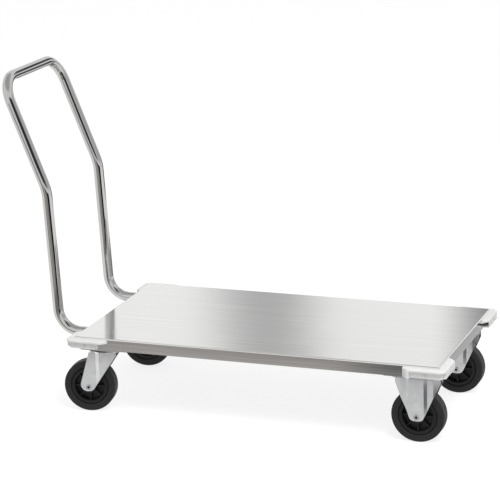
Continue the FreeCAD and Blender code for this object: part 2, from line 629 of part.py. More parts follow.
# A bumper wraps a corner of the deck: a solid rounded nose over a hollow band. The arm across the deck's end is
# full height and open at its tip. On the front bumpers a cheek, also full height, ends the arm along the side.
def make_bumper(label, end, side, end_arm, side_setback, has_cheek):
    bumper = new_body(label, f"{DECK_X} {end} deck_length / 2", f"{side} deck_width / 2")
    along, across = float(f"{end}1"), float(f"{side}1")
    wall, deep = "(band_projection - bumper_wall)", "(nose_projection - bumper_wall)"

    def corner_sketch(level, spots):
        sketch = new_sketch(bumper, "XY_Plane", level)
        add_outline(sketch, [(f"{end} ({x})", f"{side} ({y})", *rounding) for x, y, *rounding in spots])
        return sketch

    def arms(reach, corner, setbacks, tip, taper, *rounding):
        long_end, short_end = f"-(arm_length - {setbacks[0]})", f"-({end_arm} - {setbacks[1]})"
        return [
            (long_end, "0"), (long_end, tip), (f"{long_end} + {taper}", reach, *rounding),
            (reach, reach, corner),
            (reach, f"{short_end} + {taper}", *rounding), (tip, short_end), ("0", short_end), ("0", "0"),
        ]

    nose = arms("nose_projection", "nose_corner", "00", "arm_tip", "arm_taper", "arm_round")
    pad(corner_sketch(NOSE_UNDER, nose), "nose_height")
    levels = (number(NOSE_TOP), number(NOSE_UNDER))
    tip_middle = number("arm_tip / 2")

    def outer_edge(edge):
        middle = edge.CenterOfMass
        stands_out = max(middle.x * along, middle.y * across) > tip_middle + 0.01
        return stands_out and any(level_edge(edge, level) for level in levels)

    fillet(bumper, "nose_round", outer_edge)
    band = arms("band_projection", "band_corner", (side_setback, "arm_taper"), "band_tip", "band_taper")
    pad(corner_sketch(BAND_FOOT, band), f"{NOSE_UNDER} - {BAND_FOOT}")
    open_end = f"-({end_arm} - arm_taper)"
    block = [("0", open_end), ("nose_projection", open_end), ("nose_projection", "0"), ("0", "0")]
    pad(corner_sketch(BAND_FOOT, block), f"{NOSE_TOP} - nose_round - {BAND_FOOT}")
    foot, front = number(BAND_FOOT), number("nose_projection")
    fillet(bumper, "nose_round", lambda edge: level_edge(edge, foot) and edge.CenterOfMass.x * along > front - 0.01)
    closed_end = f"-(arm_length - {side_setback} - band_taper)"
    hollow = [
        (closed_end, "0"), (closed_end, wall), (wall, wall, "band_corner - bumper_wall"), (wall, "-bumper_wall"),
        (deep, "-bumper_wall"), (deep, f"-{end_arm}"), ("0", f"-{end_arm}"), ("0", "0"),
    ]
    floor = f"({BAND_FOOT} + bumper_wall)"
    pocket(corner_sketch(floor, hollow), f"{NOSE_UNDER} - {floor}", back=True)
    if has_cheek:
        cheek = [
            ("-arm_length", "0"), ("-arm_length", "arm_tip"),
            ("-arm_length + arm_taper", "nose_projection", "arm_round"),
            (f"-arm_length + {CHEEK}", "nose_projection"), (f"-arm_length + {CHEEK}", "0"),
        ]
        pad(corner_sketch(BAND_FOOT, cheek), f"{NOSE_TOP} - nose_round - {BAND_FOOT}")
    for plane, arm, reach, outward in (("XZ_Plane", end, wall, side == "+"), ("YZ_Plane", side, deep, end == "-")):
        boss = new_sketch(bumper, plane)
        add_circle(boss, f"{arm} (-rivet_inset)", BAND_MIDDLE, "rivet_boss")
        pad(boss, reach, back=outward)
        hole = new_sketch(bumper, plane)
        add_circle(hole, f"{arm} (-rivet_inset)", BAND_MIDDLE, "rivet_shank + 2 * rivet_gap")
        pocket(hole)
    sink = new_sketch(bumper, "YZ_Plane", f"{end} band_projection")
    add_circle(sink, f"{side} (-rivet_inset)", BAND_MIDDLE, "rivet_head + 2 * rivet_gap")
    pocket(sink, "nose_projection - band_projection", back=end == "+")


# Two rivets hold each bumper, one through the side skirt and one, sunk in the bumper, through the end skirt.
def make_rivets():
    rivets = []
    for end in "-+":
        for side in "-+":
            skirt_x = f"({DECK_X} {end} deck_length / 2)"
            skirt_y = f"({side} deck_width / 2)"
            inset_x = f"({DECK_X} {end} (deck_length / 2 - rivet_inset))"
            inset_y = f"({side} (deck_width / 2 - rivet_inset))"
            through_side = (lambda out, x=inset_x, y=skirt_y, s=side: (x, f"{y} {s} ({out})", BAND_MIDDLE))
            through_end = (lambda out, x=skirt_x, y=inset_y, s=end: (f"{x} {s} ({out})", y, BAND_MIDDLE))
            aims = (FreeCAD.Vector(0, float(f"{side}1"), 0), FreeCAD.Vector(float(f"{end}1"), 0, 0))
            for spot, aim in zip((through_side, through_end), aims):
                turn = FreeCAD.Rotation(FreeCAD.Vector(0, 0, 1), aim)
                inner = spot("-(sheet_thickness + rivet_tail_height)")
                shank = primitive("Cylinder", *inner, turn, Radius="rivet_shank / 2",
                                  Height="rivet_tail_height + sheet_thickness + band_projection")
                set_end = primitive("Cylinder", *inner, turn, Radius="rivet_tail / 2",
                                    Height="rivet_tail_height")
                head = primitive("Cone", *spot("band_projection"), turn, Radius1="rivet_head / 2",
                                 Radius2="rivet_head_top / 2", Height="rivet_head_height")
                rivets.append(join([shank, set_end, head]))
    gather("bumper_rivets", rivets)


# Screws with sunk heads hold the castor plates to the bolsters, so nothing hangs below the plates.
def make_castor_screws(end_name, castor_x):
    screws = []
    for x, y in screw_spots(castor_x):
        head = primitive("Cone", x, y, PLATE_UNDER, UPRIGHT, Radius1=f"bolt_diameter / 2 + {SCREW_SINK}",
                         Radius2="bolt_diameter / 2", Height=SCREW_SINK)
        shank = primitive("Cylinder", x, y, PLATE_UNDER, UPRIGHT, Radius="bolt_diameter / 2",
                          Height="plate_thickness + bolster_sheet")
        screws.append(join([head, shank]))
    gather(f"castor_screws_{end_name}", screws)


def add_plate(body):
    """The castor plate with its four holes, each sunk from below for a screw head."""
    plate = new_sketch(body, "XY_Plane", PLATE_UNDER)
    add_rectangle(plate, "0", "0", "plate_length", "plate_width", "plate_corner")
    for a in "-+":
        for b in "-+":
            spot = (f"{a} bolt_pitch_long / 2", f"{b} bolt_pitch_cross / 2")
            add_circle(plate, *spot, "bolt_diameter + 2 * bolt_hole_gap")
    pad(plate, "plate_thickness")
    under, hole = number(PLATE_UNDER), number("bolt_diameter / 2 + bolt_hole_gap")

    def hole_edge(edge):
        round_edge = isinstance(edge.Curve, Part.Circle) and abs(edge.Curve.Radius - hole) < 0.001
        return round_edge and level_edge(edge, under)

    chamfer(body, f"{SCREW_SINK} + seat_gap - bolt_hole_gap", hole_edge)


def trim_legs(body, profile, left, right, foot, top):
    """Cut a pair of fork legs down to their side outline."""
    outside = new_sketch(body, "XZ_Plane")
    add_outline(outside, profile)
    under, over = f"{foot} - cut_margin", f"{top} + cut_margin"
    low, high = f"{left} - cut_margin", f"{right} + cut_margin"
    add_outline(outside, [(low, under), (high, under), (high, over), (low, over)])
    pocket(outside)


def bore_axle(body, x):
    """The axle's hole through both legs."""
    bore = new_sketch(body, "XZ_Plane")
    add_circle(bore, x, AXLE, "axle_diameter + 2 * axle_gap")
    pocket(bore)


# A fixed fork has two pressed legs: a raised panel down the middle, and the upper edges folded in as ears.
def make_fixed_fork(name, side):
    fork = new_body(f"fixed_fork_{name}", FIXED_X, f"{side} {CASTOR_Y}")
    outer = "(fork_gap / 2 + fork_sheet - panel_rise)"
    inner = "(fork_gap / 2 - panel_rise)"
    shift = "fork_sheet * tan(atan(panel_rise / fixed_flank) / 2)"
    edge, face, panel = "fixed_fork_width / 2", "fixed_face / 2", "fixed_panel / 2"
    half = [
        (panel, f"{outer} + panel_rise"),
        (f"{panel} + fixed_flank", outer),
        (face, outer, "fold_round"),
        (edge, f"{outer} - ear_fold"),
        (edge, f"{inner} - ear_fold"),
        (face, inner, "fold_round - fork_sheet"),
        (f"{panel} + fixed_flank - {shift}", inner),
        (f"{panel} - {shift}", f"{inner} + panel_rise"),
    ]
    legs = new_sketch(fork, "XY_Plane", FIXED_FOOT)
    for out in "-+":
        front = [(x, f"{out} ({y})", *rounding) for x, y, *rounding in half]
        back = [(f"-({x})", f"{out} ({y})", *rounding) for x, y, *rounding in reversed(half)]
        add_outline(legs, front + back)
    pad(legs, f"{PLATE_UNDER} - {FIXED_FOOT}")
    shoulder = f"{PLATE_UNDER} - fixed_shoulder"
    trim_legs(fork, [
        (f"-{edge}", PLATE_UNDER),
        (f"-{edge}", shoulder, "fold_round"),
        ("-fixed_foot / 2", FIXED_FOOT, "fixed_foot_round"),
        ("fixed_foot / 2", FIXED_FOOT, "fixed_foot_round"),
        (edge, shoulder, "fold_round"),
        (edge, PLATE_UNDER),
    ], f"-{edge}", edge, FIXED_FOOT, PLATE_UNDER)
    add_plate(fork)
    bore_axle(fork, "0")


# A swivel fork hangs from a flat crown. Its legs trail back to the axle, and flare out in front to the wide bearing.
def make_swivel_fork(name, side):
    fork = new_body(f"swivel_fork_{name}", SWIVEL_X, f"{side} {CASTOR_Y}", turn="swivel_rest_angle")
    outer, inner = "(fork_gap / 2 + fork_sheet)", "(fork_gap / 2)"
    behind = "-(swivel_trail + swivel_foot_back + cut_margin)"
    flared = "(-fork_fold + flare_run)"
    shift = "fork_sheet * tan(atan(fork_flare / flare_run) / 2)"
    legs = new_sketch(fork, "XY_Plane", SWIVEL_FOOT)
    for out in "-+":
        add_outline(legs, [
            (behind, f"{out} {outer}"),
            ("-fork_fold", f"{out} {outer}", "flare_round"),
            (flared, f"{out} ({outer} + fork_flare)", "flare_round + fork_sheet"),
            ("fork_front", f"{out} ({outer} + fork_flare)"),
            ("fork_front", f"{out} ({inner} + fork_flare)"),
            (f"{flared} + {shift}", f"{out} ({inner} + fork_flare)", "flare_round"),
            (f"-fork_fold + {shift}", f"{out} {inner}", "flare_round + fork_sheet"),
            (behind, f"{out} {inner}"),
        ])
    pad(legs, f"{CROWN_UNDER} - {SWIVEL_FOOT}")
    trim_legs(fork, [
        ("-fork_back", CROWN_UNDER),
        ("-swivel_trail - swivel_foot_back", SWIVEL_FOOT, "swivel_foot_round"),
        ("-swivel_trail + swivel_foot_front", SWIVEL_FOOT, "swivel_foot_round"),
        ("fork_front", f"{CROWN_UNDER} - front_drop", "front_drop"),
        ("fork_front", CROWN_UNDER),
    ], behind, "fork_front", SWIVEL_FOOT, CROWN_UNDER)
    crown = new_sketch(fork, "XY_Plane", CROWN_UNDER)
    add_outline(crown, [
        ("-fork_back", f"-{outer}", "crown_corner"),
        ("-fork_fold", f"-{outer}", "flare_round"),
        (flared, f"-({outer} + fork_flare)", "flare_round + fork_sheet"),
        ("fork_front", f"-({outer} + fork_flare)", "crown_corner"),
        ("fork_front", f"{outer} + fork_flare", "crown_corner"),
        (flared, f"{outer} + fork_flare", "flare_round + fork_sheet"),
        ("-fork_fold", outer, "flare_round"),
        ("-fork_back", outer, "crown_corner"),
    ])
    pad(crown, "crown_sheet")
    race = new_sketch(fork, "XY_Plane", CROWN_UNDER)
    add_circle(race, "0", "0", "crown_race")
    pad(race, "crown_sheet")
    pin_hole = new_sketch(fork, "XY_Plane", CROWN_UNDER)
    add_circle(pin_hole, "0", "0", "king_pin + 2 * king_pin_gap")
    pocket(pin_hole)
    bore_axle(fork, "-swivel_trail")


# The swivel bearing: a king pin sunk in the castor plate, a nut under the crown, balls and a dust ring.
def make_swivel_bearing(name, side):
    home = (SWIVEL_X, f"{side} {CASTOR_Y}")
    plate = new_body(f"swivel_plate_{name}", *home)
    add_plate(plate)
    sink = new_sketch(plate, "XZ_Plane")
    pin, head = "(king_pin / 2 + seat_gap)", "(king_pin_head / 2 + seat_gap)"
    add_outline(sink, [
        ("0", f"{PLATE_UNDER} - cut_margin"), (pin, f"{PLATE_UNDER} - cut_margin"), (pin, PLATE_UNDER),
        (head, "castor_height"), (head, "castor_height + cut_margin"), ("0", "castor_height + cut_margin"),
    ])
    revolve(sink, "V_Axis", "Groove")
    washer_top = f"({CROWN_UNDER} - king_end_play)"
    nut_top = f"({washer_top} - king_washer_thickness)"
    pin_foot = f"({nut_top} - king_nut_height - king_pin_end)"
    king_pin = new_body(f"king_pin_{name}", *home)
    shape = new_sketch(king_pin, "XZ_Plane")
    add_outline(shape, [
        ("0", pin_foot), ("king_pin / 2", pin_foot), ("king_pin / 2", PLATE_UNDER),
        ("king_pin_head / 2", "castor_height"), ("0", "castor_height"),
    ])
    revolve(shape, "V_Axis")
    nut = new_body(f"king_pin_nut_{name}", *home)
    washer = new_sketch(nut, "XY_Plane", washer_top)
    add_circle(washer, "0", "0", "king_washer")
    add_circle(washer, "0", "0", "king_pin + 2 * thread_gap")
    pad(washer, "king_washer_thickness", back=True)
    flats = new_sketch(nut, "XY_Plane", nut_top)
    add_hexagon(flats, "0", "0", "king_nut_flats")
    add_circle(flats, "0", "0", "king_pin + 2 * thread_gap")
    pad(flats, "king_nut_height", back=True)
    seal = new_body(f"dust_seal_{name}", *home)
    ring = new_sketch(seal, "XY_Plane", PLATE_UNDER)
    add_circle(ring, "0", "0", "seal_outside")
    add_circle(ring, "0", "0", "seal_outside - 2 * seal_wall")
    pad(ring, "bearing_gap - seal_gap", back=True)
    balls = []
    for k in range(int(number("ball_count"))):
        turn = f"{k} * 360 / ball_count * 1 deg"
        x = f"{home[0]} + ball_circle / 2 * cos({turn})"
        y = f"{home[1]} + ball_circle / 2 * sin({turn})"
        z = f"{CROWN_TOP} + ball_lift + ball_diameter / 2"
        balls.append(primitive("Sphere", x, y, z, UPRIGHT, Radius="ball_diameter / 2"))
    gather(f"ball_ring_{name}", balls)


# A wheel turns on its axle: a tyre on a ribbed rim, with a bearing sleeve in the hub.
def make_wheel(kind, name, x, y, turn=None):
    home = (x, y, AXLE, turn)
    tyre = new_body(f"{kind}_tyre_{name}", *home)
    section = new_sketch(tyre, "YZ_Plane")
    wide, foot, seat = "tyre_width / 2", "rim_width / 2", "(rim_diameter / 2 + seat_gap)"
    add_outline(section, [
        (f"-{foot}", seat),
        (foot, seat),
        (wide, "tyre_foot"),
        (wide, "wheel_diameter / 2", "tyre_shoulder"),
        (f"-{wide}", "wheel_diameter / 2", "tyre_shoulder"),
        (f"-{wide}", "tyre_foot"),
    ])
    revolve(section)
    rim = new_body(f"{kind}_rim_{name}", *home)
    section = new_sketch(rim, "YZ_Plane")
    half = [
        ("rim_width / 2 - rim_bevel", "rim_diameter / 2"),
        ("rim_width / 2", "rim_diameter / 2 - rim_bevel"),
        ("rim_width / 2", "rim_recess / 2 + rim_bevel"),
        ("rim_web / 2", "rim_recess / 2"),
        ("rim_web / 2", "hub_diameter / 2"),
        ("fork_gap / 2 - hub_gap", "hub_diameter / 2"),
        ("fork_gap / 2 - hub_gap", "sleeve_diameter / 2 + seat_gap"),
    ]
    add_outline(section, half + [(f"-({y})", r) for y, r in reversed(half)])
    revolve(section)
    rib = new_sketch(rim, "XZ_Plane")
    first, last = "(hub_diameter / 2 - rim_bevel)", "(rim_recess / 2 + rim_bevel)"
    add_rectangle(rib, f"({first} + {last}) / 2", "0", f"{last} - {first}", "rib_thickness")
    spin(pad(rib, "rib_width", both=True), "rib_count")
    sleeve = new_body(f"{kind}_sleeve_{name}", *home)
    ring = new_sketch(sleeve, "XZ_Plane")
    add_circle(ring, "0", "0", "sleeve_diameter")
    add_circle(ring, "0", "0", "bush_diameter + 2 * seat_gap")
    pad(ring, "fork_gap - 2 * hub_gap", both=True)


# The axle: a bush between the fork legs, clamped by a hollow rivet that is rolled over at both ends.
def make_axle(kind, name, x, y, turn=None):
    home = (x, y, AXLE, turn)
    bush = new_body(f"{kind}_bush_{name}", *home)
    ring = new_sketch(bush, "XZ_Plane")
    add_circle(ring, "0", "0", "bush_diameter")
    add_circle(ring, "0", "0", "axle_diameter + 2 * axle_gap")
    pad(ring, "fork_gap", both=True)
    axle = new_body(f"{kind}_axle_{name}", *home)
    section = new_sketch(axle, "YZ_Plane")
    leg_face = "(fork_gap / 2 + fork_sheet)"
    half = [
        (leg_face, "axle_diameter / 2"),
        (leg_face, "axle_flange / 2"),
        (f"{leg_face} + axle_flange_height", "axle_flange / 2 - axle_flange_height"),
        (f"{leg_face} + axle_flange_height", "axle_bore / 2"),
    ]
    add_outline(section, half + [(f"-({y})", r) for y, r in reversed(half)])
    revolve(section)


make_deck()
make_bolster("bolster_rear", "-", SWIVEL_X, True)
make_bolster("bolster_front", "+", FIXED_X, False)
for name, side in SIDES:
    make_stiffener(f"stiffener_{name}", side)
make_handle()
make_handle_fixings()
for name, side in SIDES:
    make_bumper(f"bumper_rear_{name}", "-", side, "short_arm", "tip_setback", False)
    make_bumper(f"bumper_front_{name}", "+", side, "arm_length", f"({CHEEK} - band_taper)", True)
make_rivets()
make_castor_screws("rear", SWIVEL_X)
make_castor_screws("front", FIXED_X)
for name, side in SIDES:
    make_fixed_fork(name, side)
    make_wheel("fixed", name, FIXED_X, f"{side} {CASTOR_Y}")
    make_axle("fixed", name, FIXED_X, f"{side} {CASTOR_Y}")
    make_swivel_bearing(name, side)
    make_swivel_fork(name, side)
    axle_x = f"{SWIVEL_X} - swivel_trail * cos(swivel_rest_angle * 1 deg)"
    axle_y = f"{side} {CASTOR_Y} - swivel_trail * sin(swivel_rest_angle * 1 deg)"
    make_wheel("swivel", name, axle_x, axle_y, "swivel_rest_angle")
    make_axle("swivel", name, axle_x, axle_y, "swivel_rest_angle")

# Nothing is written unless every feature and every node came out sound.
doc.recompute()
for item in doc.Objects:
    if {"Invalid", "Error"} & set(item.State):
        raise RuntimeError(f"{item.Label} did not compute")
os.makedirs("parts", exist_ok=True)
for piece in parts:
    if piece.Shape.isNull() or not piece.Shape.isValid() or piece.Shape.Volume <= 0:
        raise RuntimeError(f"{piece.Label} is not a sound solid")
for piece in parts:
    piece.Shape.exportStep(f"parts/{piece.Label}.step")
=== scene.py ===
import json
import math

import bpy
import numpy as np
from mathutils import Matrix, Vector

# Flat platform trolley of folded stainless sheet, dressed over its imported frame.
# Metres throughout: +X forward, away from the handle, +Y to the left, +Z up from the floor.
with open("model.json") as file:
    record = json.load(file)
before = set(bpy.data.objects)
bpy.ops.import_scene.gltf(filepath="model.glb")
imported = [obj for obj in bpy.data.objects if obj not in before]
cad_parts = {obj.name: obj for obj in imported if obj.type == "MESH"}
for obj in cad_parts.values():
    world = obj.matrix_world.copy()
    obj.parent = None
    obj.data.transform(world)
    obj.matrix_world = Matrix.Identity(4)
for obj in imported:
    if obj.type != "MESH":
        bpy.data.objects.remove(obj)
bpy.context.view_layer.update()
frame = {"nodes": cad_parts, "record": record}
bpy.context.scene.view_settings.view_transform = "Standard"

# Camera: a long lens, well back, a little above the deck and round to the front right corner.
# The picture is square, and the camera leans slightly, as a hand-set one does.
picture_side = 500
focal_pixels = 2090.7
camera_place = Vector((1.7112, -4.4765, 1.6904))
camera_azimuth = math.radians(20.787)
camera_elevation = math.radians(15.421)
camera_roll = math.radians(-1.823)

backward = Vector((
    math.sin(camera_azimuth) * math.cos(camera_elevation),
    -math.cos(camera_azimuth) * math.cos(camera_elevation),
    math.sin(camera_elevation),
))
level_right = Vector((math.cos(camera_azimuth), math.sin(camera_azimuth), 0))
level_up = backward.cross(level_right)
camera_right = math.cos(camera_roll) * level_right + math.sin(camera_roll) * level_up
camera_up = backward.cross(camera_right)
lens = bpy.data.cameras.new("camera")
lens.sensor_width = 36
lens.lens = focal_pixels * lens.sensor_width / picture_side
camera = bpy.data.objects.new("camera", lens)
axes = Matrix((camera_right, camera_up, backward)).transposed()
camera.matrix_world = Matrix.Translation(camera_place) @ axes.to_4x4()
bpy.context.scene.collection.objects.link(camera)
bpy.context.scene.camera = camera

# Deck: one stainless sheet, folded down on four sides and hemmed along the foot of its skirt.
# The mill rolled and brushed it along its length, so it mirrors softly and streaks across the brushing.
MM = 0.001


def linear(code):
    """An sRGB hex colour as linear red, green, blue and alpha."""
    parts = np.array([int(code[k:k + 2], 16) for k in (1, 3, 5)]) / 255
    parts = np.where(parts <= 0.04045, parts / 12.92, ((parts + 0.055) / 1.055) ** 2.4)
    return (*parts.tolist(), 1.0)


def add(tree, kind, links=None, **settings):
    """Add one node: settings are its properties, links fill its inputs with values or others' outputs."""
    node = tree.nodes.new(f"ShaderNode{kind}")
    for name, value in settings.items():
        setattr(node, name, value)
    for name, value in (links or {}).items():
        if isinstance(value, bpy.types.NodeSocket):
            tree.links.new(value, node.inputs[name])
        else:
            node.inputs[name].default_value = value
    return node


def new_finish(name, even):
    """A material, its node tree, its shader with the even values set, and the piece's own coordinates."""
    material = bpy.data.materials.new(name)
    material.use_nodes = True
    tree = material.node_tree
    shader = tree.nodes["Principled BSDF"]
    for socket, value in even.items():
        shader.inputs[socket].default_value = value
    return material, tree, shader, add(tree, "TexCoord").outputs["Object"]


def dress(slot, material):
    """Give a finish to every CAD node that takes it in the record."""
    for subpart in frame["record"]["subparts"]:
        if subpart["material_slot"] == slot:
            for holder in frame["nodes"][subpart["node"]].material_slots:
                holder.material = material


brush_length, brush_gap = 320 * MM, 2.5 * MM     # real brushing is finer, and would not show at this size
sheet_wave, sheet_wave_height = 170 * MM, 0.35 * MM
deck_light, deck_dark = "#f3f3f2", "#d7d7d6"
deck_smooth, deck_rough = 0.10, 0.18

deck_finish, tree, shader, place = new_finish("brushed_stainless_sheet", {
    "Metallic": 1.0, "Anisotropic": 0.8,
})
along_brush = (1 / brush_length, 1 / brush_gap, 1 / brush_gap)
streaks = add(tree, "Mapping", {"Vector": place, "Scale": along_brush})
brushing = add(tree, "TexNoise", {"Vector": streaks.outputs[0], "Scale": 1.0, "Detail": 3.0})
tint = add(tree, "MixRGB", {
    "Fac": brushing.outputs["Fac"], "Color1": linear(deck_dark), "Color2": linear(deck_light),
})
tree.links.new(tint.outputs[0], shader.inputs["Base Color"])
gloss = add(tree, "MapRange", {"Value": brushing.outputs["Fac"], "To Min": deck_smooth, "To Max": deck_rough})
tree.links.new(gloss.outputs[0], shader.inputs["Roughness"])
waves = add(tree, "TexNoise", {"Vector": place, "Scale": 1 / sheet_wave, "Detail": 1.0})
bump = add(tree, "Bump", {"Height": waves.outputs["Fac"], "Strength": 1.0, "Distance": sheet_wave_height})
tree.links.new(bump.outputs[0], shader.inputs["Normal"])
# The brushing runs along X on every face, so a reflection spreads across it: along Y on top and Z on a skirt.
facing = add(tree, "SeparateXYZ", {"Vector": add(tree, "NewGeometry").outputs["Normal"]})
level = add(tree, "Math", {0: facing.outputs["Z"], 1: 0.5}, operation="GREATER_THAN")
upright = add(tree, "Math", {0: 1.0, 1: level.outputs[0]}, operation="SUBTRACT")
across_brush = add(tree, "CombineXYZ", {"Y": level.outputs[0], "Z": upright.outputs[0]})
tree.links.new(across_brush.outputs[0], shader.inputs["Tangent"])
dress("deck_steel", deck_finish)

# Bolsters and stiffeners: channels and hats bent from mill-finish sheet and welded under the deck.
# The rolled skin is dull and a little cloudy.
cloud_size = 40 * MM
frame_light, frame_dark = "#b9b8b6", "#a3a2a1"
frame_smooth, frame_rough = 0.36, 0.5

frame_finish, tree, shader, place = new_finish("mill_finish_sheet", {"Metallic": 1.0})
clouds = add(tree, "TexNoise", {"Vector": place, "Scale": 1 / cloud_size, "Detail": 4.0})
tint = add(tree, "MixRGB", {
    "Fac": clouds.outputs["Fac"], "Color1": linear(frame_dark), "Color2": linear(frame_light),
})
tree.links.new(tint.outputs[0], shader.inputs["Base Color"])
gloss = add(tree, "MapRange", {"Value": clouds.outputs["Fac"], "To Min": frame_smooth, "To Max": frame_rough})
tree.links.new(gloss.outputs[0], shader.inputs["Roughness"])
dress("frame_steel", frame_finish)

# Push handle: one stainless tube, bent in two planes and polished by belt along its length.
# It mirrors the studio as long strips, with faint belt lines.
belt_length, belt_gap = 60 * MM, 2 * MM     # real belt lines are finer, and would not show at this size
tube_light, tube_dark = "#c7c7c6", "#bab9b9"
tube_smooth, tube_rough = 0.04, 0.08

handle_finish, tree, shader, place = new_finish("polished_stainless_tube", {"Metallic": 1.0})
along_belt = (1 / belt_gap, 1 / belt_gap, 1 / belt_length)
streaks = add(tree, "Mapping", {"Vector": place, "Scale": along_belt})
belt = add(tree, "TexNoise", {"Vector": streaks.outputs[0], "Scale": 1.0, "Detail": 2.0})
tint = add(tree, "MixRGB", {
    "Fac": belt.outputs["Fac"], "Color1": linear(tube_dark), "Color2": linear(tube_light),
})
tree.links.new(tint.outputs[0], shader.inputs["Base Color"])
gloss = add(tree, "MapRange", {"Value": belt.outputs["Fac"], "To Min": tube_smooth, "To Max": tube_rough})
tree.links.new(gloss.outputs[0], shader.inputs["Roughness"])
dress("handle_steel", handle_finish)

# Handle plugs and saddles: black polypropylene, injection moulded in a tool that leaves a fine matt grain.
# The plugs are pushed into the tube's ends, and a bolt pulls each leg down on its saddle.
skin_grain, skin_height = 1.2 * MM, 0.05 * MM
plug_black, plug_grey = "#151516", "#1f1f20"

plug_finish, tree, shader, place = new_finish("black_polypropylene", {"Roughness": 0.5})
grain = add(tree, "TexNoise", {"Vector": place, "Scale": 1 / skin_grain, "Detail": 3.0})
tint = add(tree, "MixRGB", {
    "Fac": grain.outputs["Fac"], "Color1": linear(plug_black), "Color2": linear(plug_grey),
})
tree.links.new(tint.outputs[0], shader.inputs["Base Color"])
bump = add(tree, "Bump", {"Height": grain.outputs["Fac"], "Strength": 1.0, "Distance": skin_height})
tree.links.new(bump.outputs[0], shader.inputs["Normal"])
dress("black_plastic", plug_finish)

# Corner bumpers: pale grey polyethylene, moulded in one piece each, with a soft satin skin.
# They are riveted round the deck's corners, and handling has rubbed them a little greyer in patches.
rub_size = 30 * MM
bumper_pale, bumper_rubbed = "#eeeeed", "#e4e4e3"
bumper_smooth, bumper_rough = 0.35, 0.5

bumper_finish, tree, shader, place = new_finish("pale_polyethylene", {"IOR": 1.5})
rubs = add(tree, "TexNoise", {"Vector": place, "Scale": 1 / rub_size, "Detail": 4.0})
tint = add(tree, "MixRGB", {
    "Fac": rubs.outputs["Fac"], "Color1": linear(bumper_rubbed), "Color2": linear(bumper_pale),
})
tree.links.new(tint.outputs[0], shader.inputs["Base Color"])
gloss = add(tree, "MapRange", {"Value": rubs.outputs["Fac"], "To Min": bumper_smooth, "To Max": bumper_rough})
tree.links.new(gloss.outputs[0], shader.inputs["Roughness"])
dress("bumper_plastic", bumper_finish)

# Rivets: aluminium blind rivets, set from outside through bumper and skirt.
# They are lacquered white to go with the bumpers, so they look like satin plastic and not like metal.
lacquer_mottle = 3 * MM
rivet_light, rivet_dark = "#e6e6e5", "#d6d6d5"

rivet_finish, tree, shader, place = new_finish("lacquered_aluminium", {"Roughness": 0.4})
dull = add(tree, "TexNoise", {"Vector": place, "Scale": 1 / lacquer_mottle, "Detail": 2.0})
tint = add(tree, "MixRGB", {
    "Fac": dull.outputs["Fac"], "Color1": linear(rivet_dark), "Color2": linear(rivet_light),
})
tree.links.new(tint.outputs[0], shader.inputs["Base Color"])
dress("rivet_aluminium", rivet_finish)

# Castor forks and plates: pressed steel, bright zinc plated, with a thin blue passivation.
# The plating is brighter in some patches, faintly blue in others, and flecked with straw.
plating_patch, plating_fleck = 22 * MM, 2.5 * MM
zinc_bright, zinc_blue, zinc_straw = "#e6e6e6", "#dadcdf", "#e2e1dc"
zinc_smooth, zinc_rough = 0.12, 0.22
straw_share = 0.5

zinc_finish, tree, shader, place = new_finish("bright_zinc_plate", {"Metallic": 0.85})
patches = add(tree, "TexNoise", {"Vector": place, "Scale": 1 / plating_patch, "Detail": 3.0})
flecks = add(tree, "TexNoise", {"Vector": place, "Scale": 1 / plating_fleck, "Detail": 2.0})
cool = add(tree, "MapRange", {"Value": patches.outputs["Fac"], "From Min": 0.35, "From Max": 0.65})
tint = add(tree, "MixRGB", {
    "Fac": cool.outputs[0], "Color1": linear(zinc_blue), "Color2": linear(zinc_bright),
})
warm = add(tree, "MapRange", {
    "Value": flecks.outputs["Fac"], "From Min": 0.55, "From Max": 0.75, "To Max": straw_share,
})
tint = add(tree, "MixRGB", {
    "Fac": warm.outputs[0], "Color1": tint.outputs[0], "Color2": linear(zinc_straw),
})
tree.links.new(tint.outputs[0], shader.inputs["Base Color"])
gloss = add(tree, "MapRange", {"Value": patches.outputs["Fac"], "To Min": zinc_smooth, "To Max": zinc_rough})
tree.links.new(gloss.outputs[0], shader.inputs["Roughness"])
dress("zinc_steel", zinc_finish)

# Screws, bolts, nuts, bushes, axles and king pins: turned or headed steel with a bright zinc finish.
# Barrel plating leaves them greyer and duller than the forks, with fine turning marks.
turning_mark = 2 * MM
fastener_light, fastener_dark = "#c9cbcc", "#aeb0b1"

fastener_finish, tree, shader, place = new_finish("zinc_plated_fastener", {
    "Metallic": 1.0, "Roughness": 0.34,
})
turning = add(tree, "TexNoise", {"Vector": place, "Scale": 1 / turning_mark, "Detail": 2.0})
tint = add(tree, "MixRGB", {
    "Fac": turning.outputs["Fac"], "Color1": linear(fastener_dark), "Color2": linear(fastener_light),
})
tree.links.new(tint.outputs[0], shader.inputs["Base Color"])
dress("fastener_steel", fastener_finish)

# Bearing balls: hardened steel, ground and polished, that run between swivel plate and crown.
# A film of grease makes them brownish in patches.
grease_patch = 4 * MM
ball_light, ball_greased = "#d2d2d1", "#b5b09f"

ball_finish, tree, shader, place = new_finish("greased_bearing_steel", {"Metallic": 1.0, "Roughness": 0.12})
film = add(tree, "TexNoise", {"Vector": place, "Scale": 1 / grease_patch, "Detail": 2.0})
tint = add(tree, "MixRGB", {
    "Fac": film.outputs["Fac"], "Color1": linear(ball_greased), "Color2": linear(ball_light),
})
tree.links.new(tint.outputs[0], shader.inputs["Base Color"])
dress("ball_steel", ball_finish)

# Dust seals: black nitrile rings, moulded and pressed under the swivel plates.
# They are matt, with floor dust on them.
seal_dust = 5 * MM
seal_black, seal_dusty = "#121212", "#232322"

